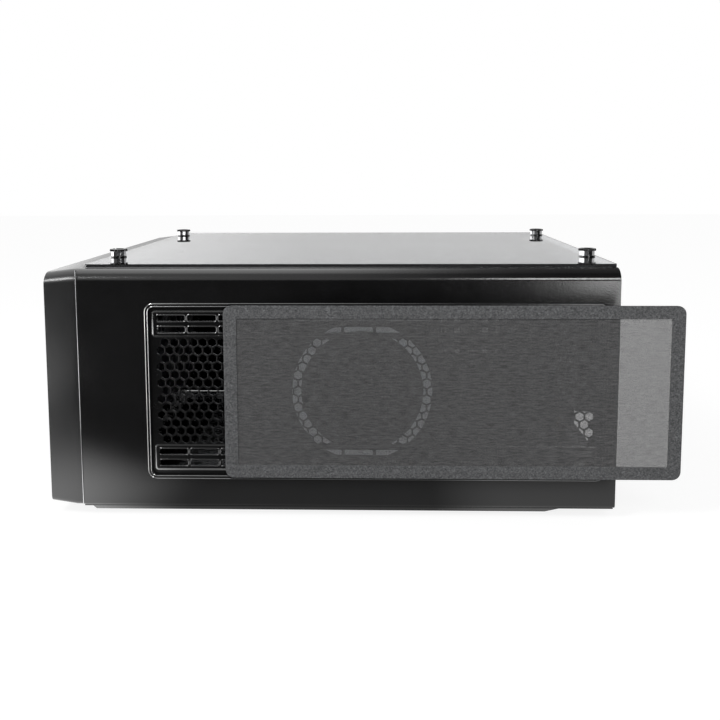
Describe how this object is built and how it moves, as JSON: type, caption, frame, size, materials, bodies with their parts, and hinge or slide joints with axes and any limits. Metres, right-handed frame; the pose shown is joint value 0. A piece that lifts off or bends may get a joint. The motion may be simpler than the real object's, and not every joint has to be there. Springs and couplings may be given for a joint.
{
  "type": "gaming computer case",
  "caption": "Black mid-tower computer case lying on its steel side, glass side up, with a honeycomb top vent and a magnetic dust filter slid towards the rear.",
  "frame": {"origin": "centre of the flat outer face of the steel side panel that the case rests on", "axes": "+X from the front panel to the rear panel, +Y from the top panel to the feet, +Z from the steel side panel up to the glass"},
  "size_m": [0.5338, 0.4974, 0.2227],
  "materials": {
    "powder_steel": "fine textured black powder coat",
    "front_plastic": "satin black moulding",
    "smoked_glass": "polished smoked tempered glass",
    "magnet_border": "grained flexible magnet strip",
    "filter_cloth": "fine nylon mesh",
    "black_metal": "satin black knurled metal",
    "inner_steel": "black powder coat",
    "fan_plastic": "glass-filled plastic, matte",
    "frosted_ring": "frosted translucent ring",
    "rubber_black": "matte rubber",
    "brass": "machined",
    "zinc_steel": "zinc plated",
    "board": "solder mask",
    "button_plastic": "glossy black"
  },
  "bodies": {
    "chassis": {"top_cover": "powder_steel", "top_vent_sheet": "inner_steel", "glass_posts": "zinc_steel", "front_plate": "inner_steel", "rear_panel": "inner_steel", "slot_covers": "inner_steel", "motherboard_tray": "inner_steel", "standoffs": "brass", "cable_grommets": "rubber_black", "psu_shroud": "inner_steel", "drive_cage": "inner_steel", "bottom_plate": "inner_steel", "feet": "front_plastic", "foot_pads": "rubber_black", "top_fan_frame": "fan_plastic", "rear_fan_frame": "fan_plastic", "front_fan_1_frame": "fan_plastic", "front_fan_2_frame": "fan_plastic", "front_fan_3_frame": "fan_plastic", "light_rings": "frosted_ring", "fan_screws": "black_metal"},
    "top_filter": {"filter_border": "magnet_border", "filter_mesh": "filter_cloth"},
    "glass_side": {"glass_panel": "smoked_glass", "glass_grommets": "rubber_black"},
    "side_panel": {"side_panel": "powder_steel"},
    "front_panel": {"front_panel": "front_plastic", "front_grille": "inner_steel", "io_board": "board"},
    "power_button": {"power_button": "button_plastic"},
    "reset_button": {"reset_button": "button_plastic"},
    "psu_filter": {"psu_filter": "fan_plastic"},
    "glass_thumbscrew_1": {"glass_thumbscrew_1": "black_metal"},
    "glass_thumbscrew_2": {"glass_thumbscrew_2": "black_metal"},
    "glass_thumbscrew_3": {"glass_thumbscrew_3": "black_metal"},
    "glass_thumbscrew_4": {"glass_thumbscrew_4": "black_metal"},
    "rear_thumbscrew_1": {"rear_thumbscrew_1": "black_metal"},
    "rear_thumbscrew_2": {"rear_thumbscrew_2": "black_metal"},
    "top_fan_rotor": {"top_fan_rotor": "fan_plastic"},
    "rear_fan_rotor": {"rear_fan_rotor": "fan_plastic"},
    "front_fan_1_rotor": {"front_fan_1_rotor": "fan_plastic"},
    "front_fan_2_rotor": {"front_fan_2_rotor": "fan_plastic"},
    "front_fan_3_rotor": {"front_fan_3_rotor": "fan_plastic"}
  },
  "joints": [
    {"name": "filter_slide", "type": "slide", "parent": "chassis", "child": "top_filter", "axis": [1, 0, 0], "range_m": [-0.0642, 0.06]},
    {"name": "glass_lift", "type": "slide", "parent": "chassis", "child": "glass_side", "axis": [0, 0, 1], "range_m": [0, 0.08]},
    {"name": "side_panel_slide", "type": "slide", "parent": "chassis", "child": "side_panel", "axis": [1, 0, 0], "range_m": [0, 0.03]},
    {"name": "front_panel_pull", "type": "slide", "parent": "chassis", "child": "front_panel", "axis": [-1, 0, 0], "range_m": [0, 0.04]},
    {"name": "power_press", "type": "slide", "parent": "front_panel", "child": "power_button", "axis": [1, 0, 0], "range_m": [0, 0.0016], "stiffness_N_per_m": 900, "springref_m": -0.0008},
    {"name": "reset_press", "type": "slide", "parent": "front_panel", "child": "reset_button", "axis": [1, 0, 0], "range_m": [0, 0.0016], "stiffness_N_per_m": 600, "springref_m": -0.0008},
    {"name": "psu_filter_slide", "type": "slide", "parent": "chassis", "child": "psu_filter", "axis": [1, 0, 0], "range_m": [0, 0.15]},
    {"name": "glass_thumbscrew_1_turn", "type": "hinge", "parent": "glass_side", "child": "glass_thumbscrew_1", "pos_m": [-0.1987, -0.1448, 0.2144], "axis": [0, 0, 1], "continuous": true},
    {"name": "glass_thumbscrew_2_turn", "type": "hinge", "parent": "glass_side", "child": "glass_thumbscrew_2", "pos_m": [0.2294, -0.1448, 0.2144], "axis": [0, 0, 1], "continuous": true},
    {"name": "glass_thumbscrew_3_turn", "type": "hinge", "parent": "glass_side", "child": "glass_thumbscrew_3", "pos_m": [-0.1987, 0.1772, 0.2144], "axis": [0, 0, 1], "continuous": true},
    {"name": "glass_thumbscrew_4_turn", "type": "hinge", "parent": "glass_side", "child": "glass_thumbscrew_4", "pos_m": [0.2294, 0.1772, 0.2144], "axis": [0, 0, 1], "continuous": true},
    {"name": "rear_thumbscrew_1_turn", "type": "hinge", "parent": "side_panel", "child": "rear_thumbscrew_1", "pos_m": [0.24, -0.15, 0.0205], "axis": [1, 0, 0], "continuous": true},
    {"name": "rear_thumbscrew_2_turn", "type": "hinge", "parent": "side_panel", "child": "rear_thumbscrew_2", "pos_m": [0.24, 0.15, 0.0205], "axis": [1, 0, 0], "continuous": true},
    {"name": "top_fan_spin", "type": "hinge", "parent": "chassis", "child": "top_fan_rotor", "pos_m": [0.027, -0.2112, 0.108], "axis": [0, 1, 0], "continuous": true},
    {"name": "rear_fan_spin", "type": "hinge", "parent": "chassis", "child": "rear_fan_rotor", "pos_m": [0.2127, -0.144, 0.143], "axis": [-1, 0, 0], "continuous": true},
    {"name": "front_fan_1_spin", "type": "hinge", "parent": "chassis", "child": "front_fan_1_rotor", "pos_m": [-0.1857, -0.15, 0.108], "axis": [1, 0, 0], "continuous": true},
    {"name": "front_fan_2_spin", "type": "hinge", "parent": "chassis", "child": "front_fan_2_rotor", "pos_m": [-0.1857, -0.028, 0.108], "axis": [1, 0, 0], "continuous": true},
    {"name": "front_fan_3_spin", "type": "hinge", "parent": "chassis", "child": "front_fan_3_rotor", "pos_m": [-0.1857, 0.094, 0.108], "axis": [1, 0, 0], "continuous": true}
  ]
}
